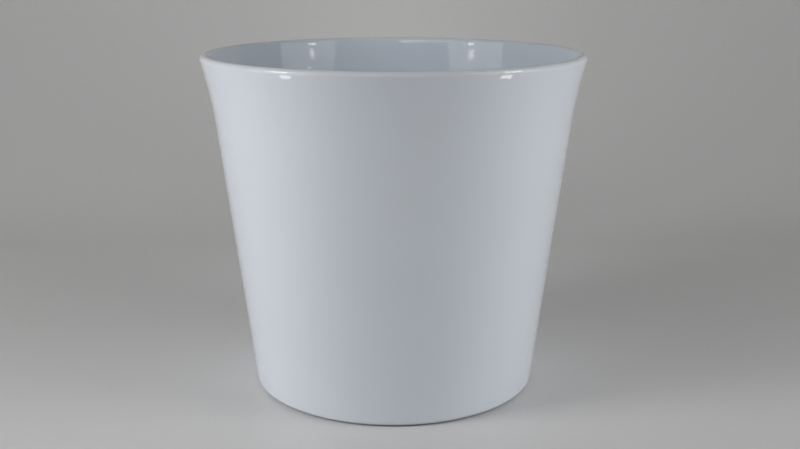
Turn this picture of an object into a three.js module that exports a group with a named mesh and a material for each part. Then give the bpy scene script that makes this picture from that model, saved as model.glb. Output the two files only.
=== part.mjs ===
// Conical vase: a wide-mouthed vessel of white glazed ceramic, standing on four felt pads.
// Millimetres, +Z up. The origin is on the table, under the middle of the foot.

import * as THREE from 'three';

// Vessel, outside
const VASE_HEIGHT = 160; // from the table to the top of the lip
const RIM_DIAMETER = 180; // across the outside of the lip
const FOOT_DIAMETER = 136; // across the lower end of the wall, before its edge is rounded
const FLARE_HEIGHT = 30; // the upper stretch of the wall, which bends outwards
const LIP_LEAN = 16; // degrees from upright, where the flare meets the lip
const HEEL_RADIUS = 2.5; // rounded edge between the wall and the underside

// Vessel, thickness
const LIP_THICKNESS = 4.2; // the lip is a half-round of this thickness
const WALL_THICKNESS = 5; // at the floor, measured level
const FLOOR_THICKNESS = 6;
const FLOOR_FILLET = 8; // inside corner between the floor and the wall

// Vessel, underside
const RING_WIDTH = 8; // flat ring round the underside
const RING_CLEARANCE = 0.4; // from the table to the ring
const RECESS_DEPTH = 2.6; // hollow inside the ring
const RECESS_COVE = 4; // width of the slope from the ring up into the hollow

// Felt pads, stuck into the hollow
const PAD_DIAMETER = 10;
const PAD_EDGE = 0.4; // rounding at the table
const PAD_MARGIN = 2; // from a pad to the slope at the edge of the hollow
const PAD_PLACES = { front_right: -45, back_right: 45, back_left: 135, front_left: -135 }; // degrees

// Facets
const VESSEL_SIDES = 96;
const PAD_SIDES = 24;
const FLARE_STEPS = 6;
const LIP_STEPS = 5; // for each quarter round
const FILLET_STEPS = 5;
const EDGE_STEPS = 3;
const SAME_POINT = 1e-6; // points closer than this are one

const glaze = new THREE.MeshStandardMaterial({ color: 0xdbe1e7, roughness: 0.12, metalness: 0 });
const felt = new THREE.MeshStandardMaterial({ color: 0x6f6c68, roughness: 0.95, metalness: 0 });

// The outline that is turned round the axis: x is the radius and y is the height.
class Outline {
  constructor() {
    this.points = [];
  }

  to(radius, height) {
    const point = new THREE.Vector2(radius, height);
    const last = this.points.at(-1);
    if (!last || last.distanceTo(point) > SAME_POINT) {
      this.points.push(point);
    }
  }

  // A round stretch from one angle to another, in radians from level.
  arc(centre, radius, from, to, steps) {
    for (let i = 0; i <= steps; i += 1) {
      const angle = from + ((to - from) * i) / steps;
      this.to(centre.x + radius * Math.cos(angle), centre.y + radius * Math.sin(angle));
    }
  }

  // A soft bend from one point to another, tangent to the lines through the corner between them.
  bend(start, corner, end, steps) {
    const curve = new THREE.QuadraticBezierCurve(start, corner, end);
    curve.getPoints(steps).forEach((point) => this.to(point.x, point.y));
  }

  turned(sides) {
    return new THREE.LatheGeometry(this.points, sides).rotateX(Math.PI / 2);
  }
}

// A straight wall in the outline, between a lower and an upper point.
class Wall {
  constructor(lower, upper) {
    this.lower = lower;
    this.slope = (upper.x - lower.x) / (upper.y - lower.y);
    this.lean = Math.atan(this.slope);
  }

  at(height) {
    return new THREE.Vector2(this.lower.x + this.slope * (height - this.lower.y), height);
  }

  // Centre of an arc that touches the inner side of this wall and rests on a level at its lower end.
  cornerCentre(radius) {
    const height = this.lower.y + radius;
    return new THREE.Vector2(this.at(height).x - radius / Math.cos(this.lean), height);
  }
}

// Heights
const footLevel = RING_CLEARANCE;
const recessLevel = footLevel + RECESS_DEPTH;
const floorLevel = recessLevel + FLOOR_THICKNESS;

// The lip, a half-round that leans with the flare
const lipLean = THREE.MathUtils.degToRad(LIP_LEAN);
const lipRadius = LIP_THICKNESS / 2;
const lipCentre = new THREE.Vector2(RIM_DIAMETER / 2 - lipRadius, VASE_HEIGHT - lipRadius);
const acrossLip = new THREE.Vector2(Math.cos(lipLean), -Math.sin(lipLean)).multiplyScalar(lipRadius);
const outerLip = lipCentre.clone().add(acrossLip);
const innerLip = lipCentre.clone().sub(acrossLip);

// The flare bends about a corner half way down it, where the lip's slope meets the straight wall.
const lipToCorner = new THREE.Vector2(-Math.tan(lipLean), -1).multiplyScalar(FLARE_HEIGHT / 2);
const outerCorner = outerLip.clone().add(lipToCorner);
const innerCorner = innerLip.clone().add(lipToCorner);

// The straight walls
const outerWall = new Wall(new THREE.Vector2(FOOT_DIAMETER / 2, footLevel), outerCorner);
const innerFoot = new THREE.Vector2(outerWall.at(floorLevel).x - WALL_THICKNESS, floorLevel);
const innerWall = new Wall(innerFoot, innerCorner);
const heelCentre = outerWall.cornerCentre(HEEL_RADIUS);
const filletCentre = innerWall.cornerCentre(FLOOR_FILLET);

// The foot ring, the hollow inside it, and the pads, which reach from the hollow down to the table
const ringInnerRadius = heelCentre.x - RING_WIDTH;
const recessRadius = ringInnerRadius - RECESS_COVE;
const padCircleRadius = recessRadius - PAD_MARGIN - PAD_DIAMETER / 2;
const padThickness = recessLevel;

function makeVessel() {
  const down = -Math.PI / 2;
  const up = Math.PI / 2;
  const outline = new Outline();
  outline.to(0, recessLevel);
  outline.to(recessRadius, recessLevel);
  outline.to(ringInnerRadius, footLevel);
  outline.arc(heelCentre, HEEL_RADIUS, down, -outerWall.lean, FILLET_STEPS);
  outline.bend(outerWall.at(outerLip.y - FLARE_HEIGHT), outerCorner, outerLip, FLARE_STEPS);
  outline.arc(lipCentre, lipRadius, -lipLean, 0, 1);
  outline.arc(lipCentre, lipRadius, 0, up, LIP_STEPS);
  outline.arc(lipCentre, lipRadius, up, Math.PI - lipLean, LIP_STEPS);
  outline.bend(innerLip, innerCorner, innerWall.at(innerLip.y - FLARE_HEIGHT), FLARE_STEPS);
  outline.arc(filletCentre, FLOOR_FILLET, -innerWall.lean, down, FILLET_STEPS);
  outline.to(0, floorLevel);
  const vessel = new THREE.Mesh(outline.turned(VESSEL_SIDES), glaze);
  vessel.name = 'vessel';
  return vessel;
}

function makePad(place, degrees) {
  const radius = PAD_DIAMETER / 2;
  const edgeCentre = new THREE.Vector2(radius - PAD_EDGE, PAD_EDGE);
  const outline = new Outline();
  outline.to(0, 0);
  outline.arc(edgeCentre, PAD_EDGE, -Math.PI / 2, 0, EDGE_STEPS);
  outline.to(radius, padThickness);
  outline.to(0, padThickness);
  const pad = new THREE.Mesh(outline.turned(PAD_SIDES), felt);
  const angle = THREE.MathUtils.degToRad(degrees);
  pad.position.set(padCircleRadius * Math.cos(angle), padCircleRadius * Math.sin(angle), 0);
  pad.name = `foot_pad_${place}`;
  return pad;
}

const vase = new THREE.Group();
vase.add(makeVessel());
for (const [place, degrees] of Object.entries(PAD_PLACES)) {
  vase.add(makePad(place, degrees));
}

export default vase;
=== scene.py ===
import math

import bpy
from mathutils import Matrix, Vector


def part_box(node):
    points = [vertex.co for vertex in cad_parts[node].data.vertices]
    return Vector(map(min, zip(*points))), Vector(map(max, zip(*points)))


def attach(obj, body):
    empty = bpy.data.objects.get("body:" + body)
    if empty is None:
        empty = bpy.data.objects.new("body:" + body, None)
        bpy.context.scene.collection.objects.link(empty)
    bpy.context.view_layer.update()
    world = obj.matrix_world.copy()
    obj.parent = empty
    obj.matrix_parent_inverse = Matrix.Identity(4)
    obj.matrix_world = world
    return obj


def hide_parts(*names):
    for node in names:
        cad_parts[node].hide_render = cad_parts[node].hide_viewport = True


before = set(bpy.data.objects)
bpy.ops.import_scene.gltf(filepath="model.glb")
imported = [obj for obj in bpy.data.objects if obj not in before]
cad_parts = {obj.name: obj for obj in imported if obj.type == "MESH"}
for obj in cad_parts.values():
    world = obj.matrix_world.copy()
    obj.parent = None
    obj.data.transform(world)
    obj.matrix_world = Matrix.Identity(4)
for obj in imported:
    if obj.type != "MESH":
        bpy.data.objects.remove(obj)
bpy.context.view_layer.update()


# The vessel: one hollow cone of white earthenware, cast in a mould, its top bent softly outwards to a
# half-round lip. A cool white glaze covers it inside and out, fused to the clay in the kiln. Only the
# flat ring under its foot is wiped bare, and the glaze ends there in a thin rolled edge.

vessel_low, vessel_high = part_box("vessel")
foot_level = vessel_low.z
lip_level = vessel_high.z
rim_radius = vessel_high.x
foot_radius = 0.068
flare_height = 0.030
lip_lean = math.radians(16)
lip_radius = 0.0021
wall_thickness = 0.005
recess_depth = 0.0026
recess_level = foot_level + recess_depth
floor_thickness = 0.006
floor_level = recess_level + floor_thickness
floor_fillet = 0.008
heel_radius = 0.0025
ring_width = 0.008
cove_width = 0.004
cove_softness = 0.003
bare_rise = 0.0001
glaze_roll_height = 0.00012
glaze_roll_front = 0.00012
glaze_roll_fade = 0.0012
same_point = 0.000004
straight_down = -math.pi / 2
straight_up = math.pi / 2


def along_line(start, end, steps, crowding=1):
    """Points from start to end, crowded towards the start where crowding is above 1."""
    return [start.lerp(end, (step / steps) ** crowding) for step in range(steps + 1)]


def along_arc(centre, radius, first_angle, last_angle, steps, crowding=1):
    points = []
    for step in range(steps + 1):
        angle = first_angle + (last_angle - first_angle) * (step / steps) ** crowding
        points.append(centre + radius * Vector((math.cos(angle), math.sin(angle))))
    return points


def along_bend(start, corner, end, steps):
    """A soft bend from start to end, tangent to the two lines that meet at the corner."""
    points = []
    for step in range(steps + 1):
        share = step / steps
        points.append(start.lerp(corner, share).lerp(corner.lerp(end, share), share))
    return points


def wall_point(low, high, level):
    return low.lerp(high, (level - low.y) / (high.y - low.y))


def wall_lean(low, high):
    return math.atan2(high.x - low.x, high.y - low.y)


def corner_centre(low, high, radius):
    """Centre of the arc that rounds the corner between a wall and the level at its lower end."""
    level = low.y + radius
    inwards = radius / math.cos(wall_lean(low, high))
    return wall_point(low, high, level) - Vector((inwards, 0))


def roll_glaze(points, side):
    """Lifts the glaze into a rolled edge at the first point, where it was wiped off the clay."""
    rolled = []
    travelled = 0
    for place, point in enumerate(points):
        before = points[max(place - 1, 0)]
        after = points[min(place + 1, len(points) - 1)]
        along = (after - before).normalized()
        travelled += (point - before).length
        swell = 1 - math.exp(-travelled / glaze_roll_front)
        proud = glaze_roll_height * swell * math.exp(-travelled / glaze_roll_fade)
        rolled.append(point + side * proud * Vector((along.y, -along.x)))
    return rolled


def chained(*stretches):
    """Joins stretches of an outline end to end, without repeating the points where they meet."""
    points = []
    for stretch in stretches:
        for point in stretch:
            if not points or (point - points[-1]).length > same_point:
                points.append(point)
    return points


lip_centre = Vector((rim_radius - lip_radius, lip_level - lip_radius))
across_lip = lip_radius * Vector((math.cos(lip_lean), -math.sin(lip_lean)))
outer_lip = lip_centre + across_lip
inner_lip = lip_centre - across_lip
lip_to_corner = flare_height / 2 * Vector((-math.tan(lip_lean), -1))
outer_corner = outer_lip + lip_to_corner
inner_corner = inner_lip + lip_to_corner
outer_foot = Vector((foot_radius, foot_level))
inner_foot = wall_point(outer_foot, outer_corner, floor_level) - Vector((wall_thickness, 0))
outer_lean = wall_lean(outer_foot, outer_corner)
inner_lean = wall_lean(inner_foot, inner_corner)
heel_centre = corner_centre(outer_foot, outer_corner, heel_radius)
fillet_centre = corner_centre(inner_foot, inner_corner, floor_fillet)
outer_flare_start = wall_point(outer_foot, outer_corner, outer_lip.y - flare_height)
inner_flare_start = wall_point(inner_foot, inner_corner, inner_lip.y - flare_height)

ring_outer = heel_centre.x
ring_inner = ring_outer - ring_width
cove_slope = math.atan2(recess_level - foot_level, cove_width)
cove_reach = cove_softness * math.tan(cove_slope / 2)
cove_top_centre = Vector((ring_inner - cove_width - cove_reach, recess_level - cove_softness))
cove_foot_centre = Vector((ring_inner + cove_reach, foot_level + cove_softness))
cove_top = along_arc(cove_top_centre, cove_softness, straight_up, straight_up - cove_slope, steps=8)

bare_level = foot_level + bare_rise
bare_cove_angle = straight_down - math.acos(1 - bare_rise / cove_softness)
bare_heel_angle = straight_down + math.acos(1 - bare_rise / heel_radius)
glazed_cove = along_arc(
    cove_foot_centre, cove_softness, bare_cove_angle, straight_down - cove_slope, steps=14, crowding=2,
)
bare_cove = along_arc(cove_foot_centre, cove_softness, bare_cove_angle, straight_down, steps=4)

hollow_under_foot = chained(
    glazed_cove,
    along_line(glazed_cove[-1], cove_top[-1], steps=6),
    reversed(cove_top),
    along_line(cove_top[0], Vector((0, recess_level)), steps=12),
)
standing_ring = chained(
    bare_cove,
    along_line(bare_cove[-1], Vector((ring_outer, foot_level)), steps=8),
    along_arc(heel_centre, heel_radius, straight_down, bare_heel_angle, steps=4),
)
heel = along_arc(heel_centre, heel_radius, bare_heel_angle, -outer_lean, steps=24, crowding=2)
fillet = along_arc(fillet_centre, floor_fillet, -inner_lean, straight_down, steps=14)
glazed_shell = chained(
    heel,
    along_line(heel[-1], outer_flare_start, steps=48),
    along_bend(outer_flare_start, outer_corner, outer_lip, steps=14),
    along_arc(lip_centre, lip_radius, -lip_lean, math.pi - lip_lean, steps=32),
    along_bend(inner_lip, inner_corner, inner_flare_start, steps=14),
    along_line(inner_flare_start, fillet[0], steps=44),
    fillet,
    along_line(fillet[-1], Vector((0, floor_level)), steps=14),
)
vessel_outline = chained(
    reversed(roll_glaze(hollow_under_foot, side=-1)),
    standing_ring,
    roll_glaze(glazed_shell, side=1),
)


def add_node(tree, kind, feeds, **settings):
    """Adds a node to a tree, and feeds its inputs with plain values or from other nodes."""
    node = tree.nodes.new(kind)
    for setting, value in settings.items():
        setattr(node, setting, value)
    for place, feed in feeds.items():
        if isinstance(feed, bpy.types.NodeSocket):
            tree.links.new(feed, node.inputs[place])
        else:
            node.inputs[place].default_value = feed
    return node


def add_math(tree, operation, first, second):
    return add_node(tree, "ShaderNodeMath", {0: first, 1: second}, operation=operation).outputs[0]


def new_tree(name, inputs):
    """An empty Geometry Nodes tree with named inputs. Returns it with its two end nodes."""
    tree = bpy.data.node_groups.new(name, "GeometryNodeTree")
    for label, kind in inputs.items():
        tree.interface.new_socket(label, in_out="INPUT", socket_type=f"NodeSocket{kind}")
    tree.interface.new_socket("Shape", in_out="OUTPUT", socket_type="NodeSocketGeometry")
    return tree, add_node(tree, "NodeGroupInput", {}), add_node(tree, "NodeGroupOutput", {})


def turning_tree():
    """Turns an outline round the upright axis, and lets its surface settle in slow ripples."""
    tree, start, end = new_tree("turned_outline", {
        "Outline": "Geometry",
        "Sides": "Int",
        "Ripple depth": "Float",
        "Ripple length": "Float",
        "Seed": "Float",
        "Change level": "Float",
        "Upper finish": "Material",
        "Lower finish": "Material",
    })
    given = start.outputs
    counted = add_node(tree, "GeometryNodeAttributeDomainSize", {0: given["Outline"]})
    rows = counted.outputs["Point Count"]
    columns = add_math(tree, "ADD", given["Sides"], 1)
    net = add_node(tree, "GeometryNodeMeshGrid", {"Vertices X": columns, "Vertices Y": rows})
    index = add_node(tree, "GeometryNodeInputIndex", {}).outputs[0]
    row = add_node(tree, "FunctionNodeIntegerMath", {0: index, 1: rows}, operation="MODULO")
    column = add_node(tree, "FunctionNodeIntegerMath", {0: index, 1: rows}, operation="DIVIDE_FLOOR")
    place = add_node(tree, "GeometryNodeInputPosition", {}).outputs[0]
    outline_point = add_node(
        tree, "GeometryNodeSampleIndex",
        {"Geometry": given["Outline"], "Value": place, "Index": row.outputs[0]},
        data_type="FLOAT_VECTOR", domain="POINT",
    )
    one_side = add_math(tree, "DIVIDE", math.tau, given["Sides"])
    turn = add_math(tree, "MULTIPLY", column.outputs[0], one_side)
    turned_point = add_node(
        tree, "ShaderNodeVectorRotate",
        {"Vector": outline_point.outputs[0], "Angle": turn},
        rotation_type="Z_AXIS",
    )
    turned = add_node(
        tree, "GeometryNodeSetPosition",
        {"Geometry": net.outputs["Mesh"], "Position": turned_point.outputs[0]},
    )
    closed = add_node(
        tree, "GeometryNodeMergeByDistance",
        {"Geometry": turned.outputs[0], "Distance": same_point / 2},
    )
    ripple = add_node(
        tree, "ShaderNodeTexNoise",
        {
            "Vector": place,
            "W": given["Seed"],
            "Scale": add_math(tree, "DIVIDE", 1, given["Ripple length"]),
            "Detail": 1,
        },
        noise_dimensions="4D",
    )
    inwards = add_math(tree, "SUBTRACT", ripple.outputs[0], 1)
    depth = add_math(tree, "MULTIPLY", inwards, given["Ripple depth"])
    shift = add_node(
        tree, "ShaderNodeVectorMath",
        {0: add_node(tree, "GeometryNodeInputNormal", {}).outputs[0], "Scale": depth},
        operation="SCALE",
    )
    rippled = add_node(
        tree, "GeometryNodeSetPosition",
        {"Geometry": closed.outputs[0], "Offset": shift.outputs[0]},
    )
    smooth = add_node(tree, "GeometryNodeSetShadeSmooth", {0: rippled.outputs[0]})
    whole = add_node(tree, "GeometryNodeRealizeInstances", {0: smooth.outputs[0]})
    height = add_node(tree, "ShaderNodeSeparateXYZ", {0: place}).outputs["Z"]
    lower = add_math(tree, "LESS_THAN", height, given["Change level"])
    upper_set = add_node(
        tree, "GeometryNodeSetMaterial",
        {"Geometry": whole.outputs[0], "Material": given["Upper finish"]},
    )
    both_set = add_node(
        tree, "GeometryNodeSetMaterial",
        {"Geometry": upper_set.outputs[0], "Selection": lower, "Material": given["Lower finish"]},
    )
    tree.links.new(both_set.outputs[0], end.inputs[0])
    return tree


def apply_tree(piece, tree, values):
    """Runs a tree on a piece with these inputs, and keeps the result as the piece's plain mesh."""
    modifier = piece.modifiers.new(tree.name, "NODES")
    modifier.node_group = tree
    for socket in tree.interface.items_tree:
        if socket.name in values:
            modifier[socket.identifier] = values[socket.name]
    evaluated = piece.evaluated_get(bpy.context.evaluated_depsgraph_get())
    mesh = bpy.data.meshes.new_from_object(evaluated)
    piece.modifiers.remove(modifier)
    piece.data = mesh


turning = turning_tree()


def turn_outline(name, outline, values):
    points = [(point.x, 0, point.y) for point in outline]
    edges = [(place, place + 1) for place in range(len(points) - 1)]
    mesh = bpy.data.meshes.new(name)
    mesh.from_pydata(points, edges, [])
    piece = bpy.data.objects.new(name, mesh)
    bpy.context.scene.collection.objects.link(piece)
    apply_tree(piece, turning, values)
    return piece


def new_finish(name, **constants):
    """A material with one shader. Returns it with its tree, its shader and its object coordinates."""
    finish = bpy.data.materials.new(name)
    finish.use_nodes = True
    tree = finish.node_tree
    shader = tree.nodes["Principled BSDF"]
    for label, value in constants.items():
        shader.inputs[label.replace("_", " ")].default_value = value
    coordinates = add_node(tree, "ShaderNodeTexCoord", {}).outputs["Object"]
    return finish, tree, shader, coordinates


def add_noise(tree, coordinates, grain, detail=2):
    """Soft noise whose lumps are about this many metres across, from 0 to 1."""
    feeds = {"Vector": coordinates, "Scale": 1 / grain, "Detail": detail}
    return add_node(tree, "ShaderNodeTexNoise", feeds).outputs[0]


def add_range(tree, value, span, result):
    """Carries a value over from one span, given by its two ends, to the two ends of a result."""
    feeds = {
        "Value": value,
        "From Min": span[0],
        "From Max": span[1],
        "To Min": result[0],
        "To Max": result[1],
    }
    return add_node(tree, "ShaderNodeMapRange", feeds).outputs[0]


def add_mix(tree, share, first, second):
    """Mixes two colours. The node has several inputs of each name: 6 and 7 are those for colours."""
    feeds = {0: share, 6: first, 7: second}
    node = add_node(tree, "ShaderNodeMix", feeds, data_type="RGBA")
    return next(output for output in node.outputs if output.enabled)


def add_bump(tree, height, depth, below=None):
    feeds = {"Height": height, "Distance": depth}
    if below is not None:
        feeds["Normal"] = below
    return add_node(tree, "ShaderNodeBump", feeds).outputs[0]


def scattered_spots(tree, coordinates, spacing, radius, share):
    """Small round spots, one in some of the cells of an even scatter, from 0 to 1."""
    core_share = 0.4
    feeds = {"Vector": coordinates, "Scale": 1 / spacing}
    cells = add_node(tree, "ShaderNodeTexVoronoi", feeds)
    reach = radius / spacing
    spot = add_range(tree, cells.outputs["Distance"], span=(core_share * reach, reach), result=(1, 0))
    luck = add_node(tree, "ShaderNodeSeparateColor", {0: cells.outputs["Color"]}).outputs[0]
    chosen = add_math(tree, "LESS_THAN", luck, share)
    return add_math(tree, "MULTIPLY", spot, chosen)


def white_glaze():
    """Glossy cool white, thin on the lip. Painted shade: darker up high, darker and bluer inside."""
    # Painted shade in these colours: lighter low down, darker high up, darker and bluer inside.
    painted_lit_low_glaze = (0.738, 0.784, 0.844, 1)
    painted_shade_high_glaze = (0.678, 0.72, 0.776, 1)
    blue_glaze = (0.682, 0.732, 0.797, 1)
    painted_shade_inside_glaze = (0.625, 0.686, 0.759, 1)
    thin_glaze = (0.73, 0.744, 0.75, 1)
    speck_brown = (0.36, 0.31, 0.25, 1)
    speck_strength = 0.45
    lip_band = 0.0022
    finish, tree, shader, here = new_finish("cool_white_glaze", IOR=1.52)
    level = add_node(tree, "ShaderNodeSeparateXYZ", {0: here}).outputs["Z"]
    # Painted shade: the glaze is painted lighter near the foot and darker towards the lip.
    painted_shade_rising = add_range(tree, level, span=(0, lip_level), result=(0, 1))
    colour = add_mix(tree, painted_shade_rising, painted_lit_low_glaze, painted_shade_high_glaze)
    cloudy = add_noise(tree, here, grain=0.045, detail=3)
    clouds = add_range(tree, cloudy, span=(0.35, 0.75), result=(0, 0.5))
    colour = add_mix(tree, clouds, colour, blue_glaze)
    facing = add_node(tree, "ShaderNodeNewGeometry", {}).outputs["Normal"]
    level_part = {0: here, 1: (1, 1, 0)}
    from_axis = add_node(tree, "ShaderNodeVectorMath", level_part, operation="MULTIPLY").outputs[0]
    outwards = add_node(tree, "ShaderNodeVectorMath", {0: facing, 1: from_axis}, operation="DOT_PRODUCT")
    # Painted shade: the inside of the vessel is painted darker and bluer than the outside.
    inside = add_range(tree, outwards.outputs["Value"], span=(-0.02, 0.02), result=(1, 0))
    colour = add_mix(tree, inside, colour, painted_shade_inside_glaze)
    on_lip = add_range(tree, level, span=(lip_level - lip_band, lip_level), result=(0, 0.5))
    colour = add_mix(tree, on_lip, colour, thin_glaze)
    specks = scattered_spots(tree, here, spacing=0.012, radius=0.00035, share=0.22)
    colour = add_mix(tree, add_math(tree, "MULTIPLY", specks, speck_strength), colour, speck_brown)
    tree.links.new(colour, shader.inputs["Base Color"])
    shine = add_range(tree, add_noise(tree, here, grain=0.02), span=(0.3, 0.7), result=(0.04, 0.075))
    tree.links.new(shine, shader.inputs["Roughness"])
    peel = add_bump(tree, add_noise(tree, here, grain=0.0028, detail=1), depth=0.000014)
    pinholes = scattered_spots(tree, here, spacing=0.009, radius=0.0003, share=0.15)
    dimpled = add_bump(tree, add_math(tree, "SUBTRACT", 1, pinholes), depth=0.00006, below=peel)
    tree.links.new(dimpled, shader.inputs["Normal"])
    return finish


def add_blend(tree, first, first_share, second):
    """Adds two values up, the first with this share and the second with the rest."""
    first_part = add_math(tree, "MULTIPLY", first, first_share)
    second_part = add_math(tree, "MULTIPLY", second, 1 - first_share)
    return add_math(tree, "ADD", first_part, second_part)


def wiped_clay():
    """Bare fired earthenware: warm white, matt and gritty, with rings from the sponge that wiped it."""
    pale_clay = (0.66, 0.61, 0.54, 1)
    dark_clay = (0.57, 0.515, 0.44, 1)
    grit = (0.34, 0.27, 0.2, 1)
    grit_strength = 0.6
    ring_spacing = 0.0009
    finish, tree, shader, here = new_finish("bare_fired_clay")
    apart = add_node(tree, "ShaderNodeSeparateXYZ", {0: here}).outputs
    flat = add_node(tree, "ShaderNodeCombineXYZ", {"X": apart["X"], "Y": apart["Y"]}).outputs[0]
    radius = add_node(tree, "ShaderNodeVectorMath", {0: flat}, operation="LENGTH").outputs["Value"]
    ring_feeds = {"W": radius, "Scale": 1 / ring_spacing, "Detail": 3}
    rings = add_node(tree, "ShaderNodeTexNoise", ring_feeds, noise_dimensions="1D").outputs[0]
    body = add_noise(tree, here, grain=0.004, detail=4)
    wiped = add_blend(tree, rings, first_share=0.6, second=body)
    shade = add_range(tree, wiped, span=(0.35, 0.65), result=(0, 1))
    colour = add_mix(tree, shade, pale_clay, dark_clay)
    grains = scattered_spots(tree, here, spacing=0.0021, radius=0.00022, share=0.4)
    colour = add_mix(tree, add_math(tree, "MULTIPLY", grains, grit_strength), colour, grit)
    tree.links.new(colour, shader.inputs["Base Color"])
    dull = add_range(tree, body, span=(0.3, 0.7), result=(0.82, 0.95))
    tree.links.new(dull, shader.inputs["Roughness"])
    gritty = add_bump(tree, add_noise(tree, here, grain=0.0004, detail=3), depth=0.00005)
    tree.links.new(add_bump(tree, rings, depth=0.00008, below=gritty), shader.inputs["Normal"])
    return finish


glazed_vessel = turn_outline("glazed_vessel", vessel_outline, {
    "Sides": 240,
    "Ripple depth": 0.00009,
    "Ripple length": 0.021,
    "Seed": 4.0,
    "Change level": bare_level,
    "Upper finish": white_glaze(),
    "Lower finish": wiped_clay(),
})
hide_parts("vessel")
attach(glazed_vessel, "root")


# The foot pads: four discs of pressed grey wool felt, punched from a sheet and stuck into the hollow
# under the foot by the adhesive film on their backs. They keep the bare ring just clear of the table,
# and short loose fibres stand out round their cut edges.

pad_edge = 0.0004
film_thickness = 0.00012
film_inset = 0.0002
fibre_length = 0.0007
fibre_radius = 0.000014
fibre_tilt = 0.7
shortest_share = 0.4
longest_share = 1.2
fibres_per_square_metre = 5500000
facing_down = -0.5


def fibre_tree():
    """Scatters short curled fibres over the cut edge of a felt disc, all of them above the table."""
    tree, start, end = new_tree("loose_fibres", {
        "Felt disc": "Geometry",
        "Fibres per square metre": "Float",
        "Fibre length": "Float",
        "Fibre radius": "Float",
        "Film level": "Float",
        "Seed": "Int",
        "Felt": "Material",
    })
    given = start.outputs
    facing = add_node(tree, "GeometryNodeInputNormal", {}).outputs[0]
    upwards = add_node(tree, "ShaderNodeSeparateXYZ", {0: facing}).outputs["Z"]
    place = add_node(tree, "GeometryNodeInputPosition", {}).outputs[0]
    height = add_node(tree, "ShaderNodeSeparateXYZ", {0: place}).outputs["Z"]
    not_under = add_math(tree, "GREATER_THAN", upwards, facing_down)
    not_film = add_math(tree, "LESS_THAN", height, given["Film level"])
    roots = add_node(
        tree, "GeometryNodeDistributePointsOnFaces",
        {
            "Mesh": given["Felt disc"],
            "Selection": add_math(tree, "MULTIPLY", not_under, not_film),
            "Density": given["Fibres per square metre"],
            "Seed": given["Seed"],
        },
    )
    curl = add_node(
        tree, "GeometryNodeCurveQuadraticBezier",
        {"Resolution": 4, "Start": (0, 0, 0), "Middle": (0.1, 0.05, 0.5), "End": (0.55, 0.2, 0.62)},
    )
    growth = add_node(
        tree, "ShaderNodeCombineXYZ",
        {"X": given["Fibre length"], "Y": given["Fibre length"], "Z": given["Fibre length"]},
    )
    long_curl = add_node(
        tree, "GeometryNodeTransform", {"Geometry": curl.outputs[0], "Scale": growth.outputs[0]},
    )
    section = add_node(
        tree, "GeometryNodeCurvePrimitiveCircle", {"Resolution": 3, "Radius": given["Fibre radius"]},
    )
    fibre = add_node(
        tree, "GeometryNodeCurveToMesh",
        {"Curve": long_curl.outputs[0], "Profile Curve": section.outputs[0], "Fill Caps": True},
    )
    spin = add_node(
        tree, "FunctionNodeRandomValue",
        {
            0: (-fibre_tilt, -fibre_tilt, -math.pi),
            1: (fibre_tilt, fibre_tilt, math.pi),
            "Seed": given["Seed"],
        },
        data_type="FLOAT_VECTOR",
    )
    turned = add_node(
        tree, "FunctionNodeRotateRotation",
        {"Rotation": roots.outputs["Rotation"], "Rotate By": spin.outputs[0]},
        rotation_space="LOCAL",
    )
    size = add_node(
        tree, "FunctionNodeRandomValue",
        {2: shortest_share, 3: longest_share, "Seed": given["Seed"]},
        data_type="FLOAT",
    )
    fibres = add_node(
        tree, "GeometryNodeInstanceOnPoints",
        {
            "Points": roots.outputs["Points"],
            "Instance": fibre.outputs[0],
            "Rotation": turned.outputs[0],
            "Scale": size.outputs[1],
        },
    )
    real = add_node(tree, "GeometryNodeRealizeInstances", {0: fibres.outputs[0]})
    highest = add_math(tree, "MINIMUM", height, given["Film level"])
    lifted = add_math(tree, "MAXIMUM", highest, given["Fibre radius"])
    apart = add_node(tree, "ShaderNodeSeparateXYZ", {0: place}).outputs
    kept = add_node(tree, "ShaderNodeCombineXYZ", {"X": apart["X"], "Y": apart["Y"], "Z": lifted})
    laid = add_node(
        tree, "GeometryNodeSetPosition", {"Geometry": real.outputs[0], "Position": kept.outputs[0]},
    )
    felted = add_node(
        tree, "GeometryNodeSetMaterial", {"Geometry": laid.outputs[0], "Material": given["Felt"]},
    )
    joined = add_node(tree, "GeometryNodeJoinGeometry", {})
    tree.links.new(felted.outputs[0], joined.inputs[0])
    tree.links.new(given["Felt disc"], joined.inputs[0])
    tree.links.new(joined.outputs[0], end.inputs[0])
    return tree


def grey_felt():
    """Pressed wool felt: dark and pale fibres matted together, quite matt, with a faint nap."""
    dark_wool = (0.098, 0.092, 0.085, 1)
    pale_wool = (0.27, 0.256, 0.236, 1)
    finish, tree, shader, here = new_finish("grey_wool_felt", Sheen_Weight=0.25, Sheen_Roughness=0.6)
    strands = add_noise(tree, here, grain=0.0005, detail=5)
    patches = add_noise(tree, here, grain=0.003, detail=2)
    matted = add_blend(tree, strands, first_share=0.75, second=patches)
    shade = add_range(tree, matted, span=(0.38, 0.64), result=(0, 1))
    colour = add_mix(tree, shade, dark_wool, pale_wool)
    tree.links.new(colour, shader.inputs["Base Color"])
    dull = add_range(tree, strands, span=(0.3, 0.7), result=(0.88, 1))
    tree.links.new(dull, shader.inputs["Roughness"])
    tree.links.new(add_bump(tree, strands, depth=0.00025), shader.inputs["Normal"])
    return finish


def adhesive_film():
    """The pale film of adhesive on the back of a pad."""
    clear_film = (0.66, 0.63, 0.55, 1)
    cloudy_film = (0.58, 0.55, 0.47, 1)
    finish, tree, shader, here = new_finish("adhesive_film")
    clouds = add_noise(tree, here, grain=0.0012, detail=2)
    tree.links.new(add_mix(tree, clouds, clear_film, cloudy_film), shader.inputs["Base Color"])
    shine = add_range(tree, clouds, span=(0.3, 0.7), result=(0.35, 0.55))
    tree.links.new(shine, shader.inputs["Roughness"])
    return finish


felt = grey_felt()
film = adhesive_film()
fibres_on_felt = fibre_tree()

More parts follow.
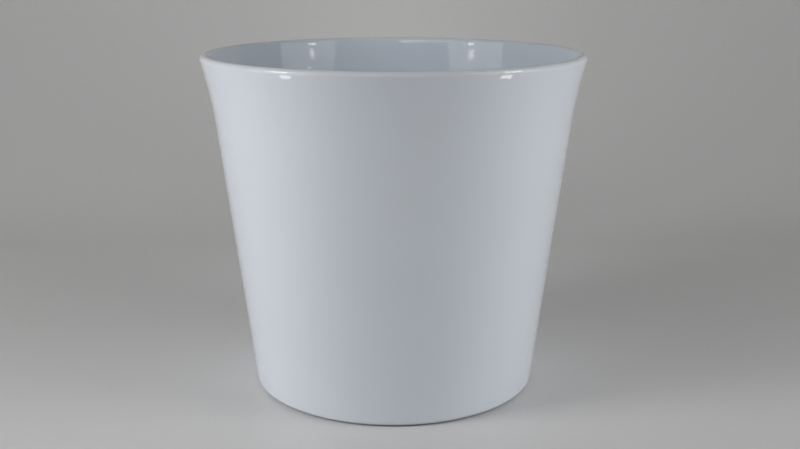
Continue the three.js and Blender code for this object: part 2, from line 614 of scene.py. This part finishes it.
for seed, place in enumerate(("front_left", "front_right", "back_left", "back_right"), start=11):
    pad_low, pad_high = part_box(f"foot_pad_{place}")
    pad_radius = (pad_high.x - pad_low.x) / 2
    pad_thickness = pad_high.z
    film_level = pad_thickness - film_thickness
    edge_centre = Vector((pad_radius - pad_edge, pad_edge))
    film_edge = Vector((pad_radius - film_inset, film_level))
    film_top = Vector((pad_radius - film_inset, pad_thickness))
    pad_outline = chained(
        along_line(Vector((0, 0)), Vector((edge_centre.x, 0)), steps=16),
        along_arc(edge_centre, pad_edge, straight_down, 0, steps=6),
        along_line(Vector((pad_radius, pad_edge)), Vector((pad_radius, film_level)), steps=4),
        along_line(Vector((pad_radius, film_level)), film_edge, steps=1),
        along_line(film_edge, film_top, steps=1),
        along_line(film_top, Vector((0, pad_thickness)), steps=6),
    )
    felt_pad = turn_outline(f"felt_pad_{place}", pad_outline, {
        "Sides": 72,
        "Ripple depth": 0.00012,
        "Ripple length": 0.0011,
        "Seed": float(seed),
        "Change level": film_level,
        "Upper finish": film,
        "Lower finish": felt,
    })
    apply_tree(felt_pad, fibres_on_felt, {
        "Fibres per square metre": fibres_per_square_metre,
        "Fibre length": fibre_length,
        "Fibre radius": fibre_radius,
        "Film level": film_level,
        "Seed": seed,
        "Felt": felt,
    })
    middle = (pad_low + pad_high) / 2
    felt_pad.data.transform(Matrix.Translation((middle.x, middle.y, 0)))
    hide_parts(f"foot_pad_{place}")
    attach(felt_pad, "root")


# The floor and the backdrop: one wide sheet of pale satin paper that lies under the vessel and sweeps up
# behind it in a large curve, so that no edge shows between the two. Only its front is seen: from behind
# it lets the view through. Far from the vessel it fades into the grey of the room.

paper_half_width = 6.0
paper_front = -6.0
sweep_start = 0.25
sweep_radius = 0.30
paper_top = 2.5
fade_start = 0.75
fade_end = 1.4
room_seen = 0.25


def paper_sweep():
    across = [-paper_half_width, paper_half_width]
    side_view = chained(
        [Vector((paper_front, 0)), Vector((sweep_start, 0))],
        along_arc(Vector((sweep_start, sweep_radius)), sweep_radius, straight_down, 0, steps=48),
        [Vector((sweep_start + sweep_radius, paper_top))],
    )
    points = [(x, point.x, point.y) for point in side_view for x in across]
    faces = []
    for row in range(len(side_view) - 1):
        first = 2 * row
        faces.append((first, first + 1, first + 3, first + 2))
    mesh = bpy.data.meshes.new("paper_sweep")
    mesh.from_pydata(points, [], faces)
    mesh.shade_smooth()
    sheet = bpy.data.objects.new("paper_sweep", mesh)
    bpy.context.scene.collection.objects.link(sheet)
    return sheet


def in_sight(tree):
    """1 where the viewer sees something, straight or in a gloss, and 0 where it only gives light."""
    path = add_node(tree, "ShaderNodeLightPath", {}).outputs
    return add_math(tree, "MAXIMUM", path["Is Camera Ray"], path["Is Glossy Ray"])


def satin_paper():
    """Pale paper with a soft sheen, clear from behind, and lost in the grey of the room far away."""
    pale_paper = (0.787, 0.78, 0.775, 1)
    dull_paper = (0.747, 0.74, 0.735, 1)
    finish, tree, shader, here = new_finish("satin_paper", Roughness=0.16)
    clouds = add_noise(tree, here, grain=0.003, detail=4)
    tree.links.new(add_mix(tree, clouds, pale_paper, dull_paper), shader.inputs["Base Color"])
    from_vessel = add_node(tree, "ShaderNodeVectorMath", {0: here}, operation="LENGTH").outputs["Value"]
    haze = add_range(tree, from_vessel, span=(fade_start, fade_end), result=(0, 1))
    room_tone = add_math(tree, "MULTIPLY", room_seen, in_sight(tree))
    room_grey = add_node(tree, "ShaderNodeEmission", {"Strength": room_tone})
    faded = add_node(
        tree, "ShaderNodeMixShader", {0: haze, 1: shader.outputs[0], 2: room_grey.outputs[0]},
    )
    behind = add_node(tree, "ShaderNodeNewGeometry", {}).outputs["Backfacing"]
    clear = add_node(tree, "ShaderNodeBsdfTransparent", {})
    one_sided = add_node(
        tree, "ShaderNodeMixShader", {0: behind, 1: faded.outputs[0], 2: clear.outputs[0]},
    )
    tree.links.new(one_sided.outputs[0], tree.nodes["Material Output"].inputs["Surface"])
    return finish


sweep = paper_sweep()
sweep.data.materials.append(satin_paper())


# The light: on each side of the viewer stands a tall soft box, with a smaller lamp and a low panel hung
# before its cloth. The panels and the fills light the vessel alone. The gleams are the cloths and other
# bright spots as its glaze mirrors them. A small lamp lifts the backdrop, and a dim room is the rest.

vessel_middle = Vector((0, 0, lip_level / 2))
vessel_only = bpy.data.collections.new("vessel_only")
vessel_only.objects.link(glazed_vessel)
cloth_width = 0.53
cloth_height = 0.7
cloth_level = 0.35
cloth_distance = 0.7
cloth_power = 1.5
mirrored_gap = 0.01
gleam_distance = 0.618
bulb_turn = 0.945
lip_turn = 0.76
flare_turn = 0.68
room_light = 0.035


def beside(degrees, distance, level):
    """A place round the vessel, this many degrees to the right of the viewer."""
    angle = math.radians(degrees)
    return Vector((distance * math.sin(angle), -distance * math.cos(angle), level))


def hang_lamp(name, place, width, height, power, aim=vessel_middle):
    """A soft lamp, aimed at the vessel if nothing else is said, which shows in no gloss."""
    cloth = bpy.data.lights.new(name, "AREA")
    cloth.shape = "RECTANGLE"
    cloth.size = width
    cloth.size_y = height
    cloth.energy = power
    lamp = bpy.data.objects.new(name, cloth)
    lamp.location = place
    lamp.rotation_euler = (aim - place).to_track_quat("-Z", "Y").to_euler()
    lamp.visible_camera = False
    lamp.visible_glossy = False
    bpy.context.scene.collection.objects.link(lamp)
    return lamp


def hang_fill(name, place, width, height, power):
    """A soft lamp that lights the vessel and nothing round it."""
    fill = hang_lamp(name, place, width, height, power)
    fill.light_linking.receiver_collection = vessel_only
    return fill


def hang_gleam(name, place, width, height, power):
    """A bright patch that gives no light, and only shows as a reflection in the vessel's glaze."""
    gleam = hang_fill(name, place, width, height, power)
    gleam.visible_glossy = True
    gleam.visible_diffuse = False


def lamp_stand(side, degrees, lamp_power, panel_power, glow):
    """The lamps on one side. Each gleam hangs at its own share of the stand's turn from the viewer."""
    cloth_place = beside(degrees, cloth_distance, cloth_level)
    cloth_front = beside(degrees, cloth_distance - mirrored_gap, cloth_level)
    lamp_place = beside(degrees, distance=0.65, level=0.425)
    panel_place = beside(degrees, distance=0.6, level=0.1)
    hang_lamp(f"{side}_cloth", cloth_place, cloth_width, cloth_height, cloth_power)
    hang_lamp(f"{side}_lamp", lamp_place, width=0.22, height=0.16, power=lamp_power)
    hang_fill(f"{side}_panel", panel_place, width=0.3, height=0.18, power=panel_power)

    bulb_place = beside(bulb_turn * degrees, gleam_distance, level=0.409)
    top_place = beside(bulb_turn * degrees, gleam_distance, level=0.475)
    lip_place = beside(lip_turn * degrees, distance=0.155, level=0.186)
    flare_place = beside(flare_turn * degrees, distance=0.1335, level=0.1275)
    hang_gleam(f"{side}_cloth_gleam", cloth_front, cloth_width, cloth_height, cloth_power)
    hang_gleam(f"{side}_bulb_gleam", bulb_place, width=0.04, height=0.045, power=0.028 * glow)
    hang_gleam(f"{side}_top_gleam", top_place, width=0.06, height=0.018, power=0.03)
    hang_gleam(f"{side}_lip_gleam", lip_place, width=0.025, height=0.03, power=0.0165 * glow)
    hang_gleam(f"{side}_flare_gleam", flare_place, width=0.012, height=0.006, power=0.0013)


lamp_stand("left", degrees=-64.5, lamp_power=1.49, panel_power=0.55, glow=1)
lamp_stand("right", degrees=67.5, lamp_power=0.73, panel_power=0.59, glow=0.8)
low_place = beside(degrees=66.5, distance=gleam_distance, level=0.334)
hang_gleam("right_low_gleam", low_place, width=0.03, height=0.014, power=0.007)
strip_place = beside(degrees=-23, distance=gleam_distance, level=0.565)
hang_gleam("overhead_strip_gleam", strip_place, width=0.4, height=0.04, power=0.17)

for side, degrees in (("left", -140), ("right", 140)):
    fill_place = beside(degrees, distance=0.5, level=0.07)
    hang_fill(f"{side}_fill", fill_place, width=0.3, height=0.12, power=0.3)

in_mouth = Vector((0, 0, 0.15))
narrow_beam = math.radians(80)
inner_fill = hang_fill("inner_fill", in_mouth, width=0.06, height=0.06, power=0.009)
inner_fill.data.spread = narrow_beam

behind_vessel = Vector((0, 0.3, 0.16))
backdrop_spot = Vector((0, sweep_start + sweep_radius, 0.26))
hang_lamp("backdrop_lamp", behind_vessel, width=0.1, height=0.06, power=0.05, aim=backdrop_spot)

room = bpy.data.worlds.new("dim_room")
room.use_nodes = True
room_tree = room.node_tree
background = room_tree.nodes["Background"]
background.inputs["Color"].default_value = (1, 1, 1, 1)
room_strength = add_range(room_tree, in_sight(room_tree), span=(0, 1), result=(room_light, room_seen))
room_tree.links.new(room_strength, background.inputs["Strength"])
bpy.context.scene.world = room


# The camera: it stands half a metre in front of the vessel, a little above the lip, and looks slightly
# down into the mouth.

viewer_tilt = math.radians(75.93)
viewer_turn = math.radians(-0.331)
lens = bpy.data.cameras.new("viewer")
lens.sensor_width = 36
lens.lens = 48.88
viewer = bpy.data.objects.new("viewer", lens)
viewer.location = (0, -0.51484, 0.20517)
viewer.rotation_euler = (viewer_tilt, 0, viewer_turn)
bpy.context.scene.collection.objects.link(viewer)
bpy.context.scene.camera = viewer
bpy.context.scene.view_settings.view_transform = "Standard"
